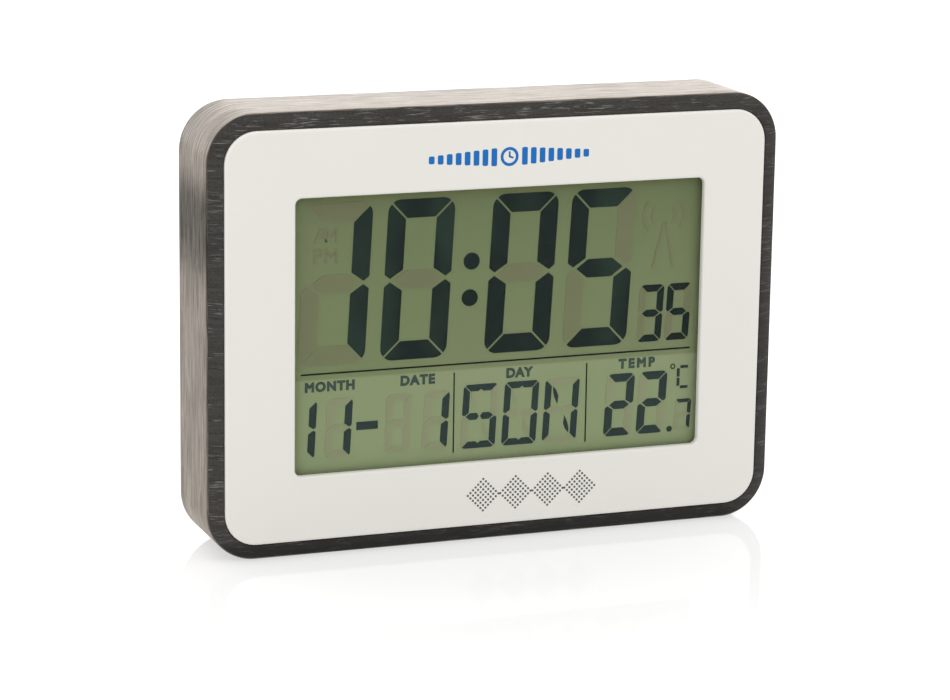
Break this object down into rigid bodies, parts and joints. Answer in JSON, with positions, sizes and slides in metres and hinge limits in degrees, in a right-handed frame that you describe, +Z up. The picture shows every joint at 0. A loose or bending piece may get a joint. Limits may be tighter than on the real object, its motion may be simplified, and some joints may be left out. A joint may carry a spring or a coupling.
{
  "type": "digital desk clock",
  "caption": "Free-standing digital desk clock: wood-grain frame, pale front panel, segment display of time, date and temperature, fold-out stand.",
  "frame": {"origin": "on the table, under the middle of the clock's box", "axes": "+X to the right of someone who faces the display, +Y to the back, +Z up"},
  "size_m": [0.19, 0.033, 0.14],
  "materials": {
    "wood_film": "dark wood-grain film on moulded plastic",
    "panel_plastic": "off-white satin",
    "black_plastic": "fine matt texture",
    "button_plastic": "smooth matt",
    "white_plastic": "plain moulded",
    "foam": "foam gasket",
    "contact_rubber": "striped silicone contact strip",
    "display_film": "satin polarizer",
    "display_glass": "clear",
    "display_back": "green-grey reflector",
    "figures": "dark figures",
    "idle_figures": "faint figures",
    "circuit_board": "green solder mask",
    "chip_resin": "cured resin",
    "small_parts": "surface-mount parts",
    "steel": "zinc plated",
    "nickel": "nickel plated",
    "battery_shell": "printed label",
    "ferrite": "sintered",
    "copper_wire": "enamelled copper",
    "brass": "plain",
    "ceramic": "silvered",
    "wire_sleeve": "insulated lead"
  },
  "bodies": {
    "case": {"wood_frame": "wood_film", "front_panel": "panel_plastic", "lcd_gasket": "foam", "front_polarizer": "display_film", "front_glass": "display_glass", "lcd_figures": "figures", "lcd_idle_figures": "idle_figures", "rear_glass": "display_glass", "reflector_film": "display_back", "lcd_bracket": "white_plastic", "bracket_screws": "steel", "contact_strip": "contact_rubber", "main_board": "circuit_board", "board_screws": "steel", "clock_chip": "chip_resin", "quartz_crystal": "nickel", "board_parts": "small_parts", "button_board": "circuit_board", "button_board_screws": "steel", "switch_bodies": "black_plastic", "rear_cover": "black_plastic", "case_screws": "steel", "left_battery": "battery_shell", "right_battery": "battery_shell", "battery_springs": "nickel", "battery_plates": "nickel", "antenna_rod": "ferrite", "antenna_coil": "copper_wire", "antenna_clips": "white_plastic", "buzzer_disc": "brass", "buzzer_ceramic": "ceramic", "temperature_sensor": "chip_resin", "battery_wires": "wire_sleeve", "buzzer_wires": "wire_sleeve", "sensor_wires": "wire_sleeve", "antenna_wires": "copper_wire", "button_wires": "wire_sleeve"},
    "stand": {"stand_leg": "black_plastic"},
    "door": {"battery_door": "black_plastic"},
    "time_key": {"time_button": "button_plastic", "time_plunger": "brass"},
    "alarm_key": {"alarm_button": "button_plastic", "alarm_plunger": "brass"},
    "plus_key": {"plus_button": "button_plastic", "plus_plunger": "brass"},
    "minus_key": {"minus_button": "button_plastic", "minus_plunger": "brass"},
    "snooze_key": {"snooze_button": "button_plastic", "snooze_plunger": "brass"},
    "unit_key": {"unit_button": "button_plastic", "unit_plunger": "brass"}
  },
  "joints": [
    {"name": "stand_hinge", "type": "hinge", "parent": "case", "child": "stand", "pos_m": [0, 0.0146, 0.082], "axis": [1, 0, 0], "range_deg": [0, 35]},
    {"name": "door_hinge", "type": "hinge", "parent": "case", "child": "door", "pos_m": [0.0585, 0.015, 0.0196], "axis": [-1, 0, 0], "range_deg": [0, 90]},
    {"name": "time_press", "type": "slide", "parent": "case", "child": "time_key", "axis": [0, -1, 0], "range_m": [0, 0.0005], "stiffness_N_per_m": 600},
    {"name": "alarm_press", "type": "slide", "parent": "case", "child": "alarm_key", "axis": [0, -1, 0], "range_m": [0, 0.0005], "stiffness_N_per_m": 600},
    {"name": "plus_press", "type": "slide", "parent": "case", "child": "plus_key", "axis": [0, -1, 0], "range_m": [0, 0.0005], "stiffness_N_per_m": 600},
    {"name": "minus_press", "type": "slide", "parent": "case", "child": "minus_key", "axis": [0, -1, 0], "range_m": [0, 0.0005], "stiffness_N_per_m": 600},
    {"name": "snooze_press", "type": "slide", "parent": "case", "child": "snooze_key", "axis": [0, -1, 0], "range_m": [0, 0.0005], "stiffness_N_per_m": 600},
    {"name": "unit_press", "type": "slide", "parent": "case", "child": "unit_key", "axis": [0, -1, 0], "range_m": [0, 0.0005], "stiffness_N_per_m": 600}
  ]
}
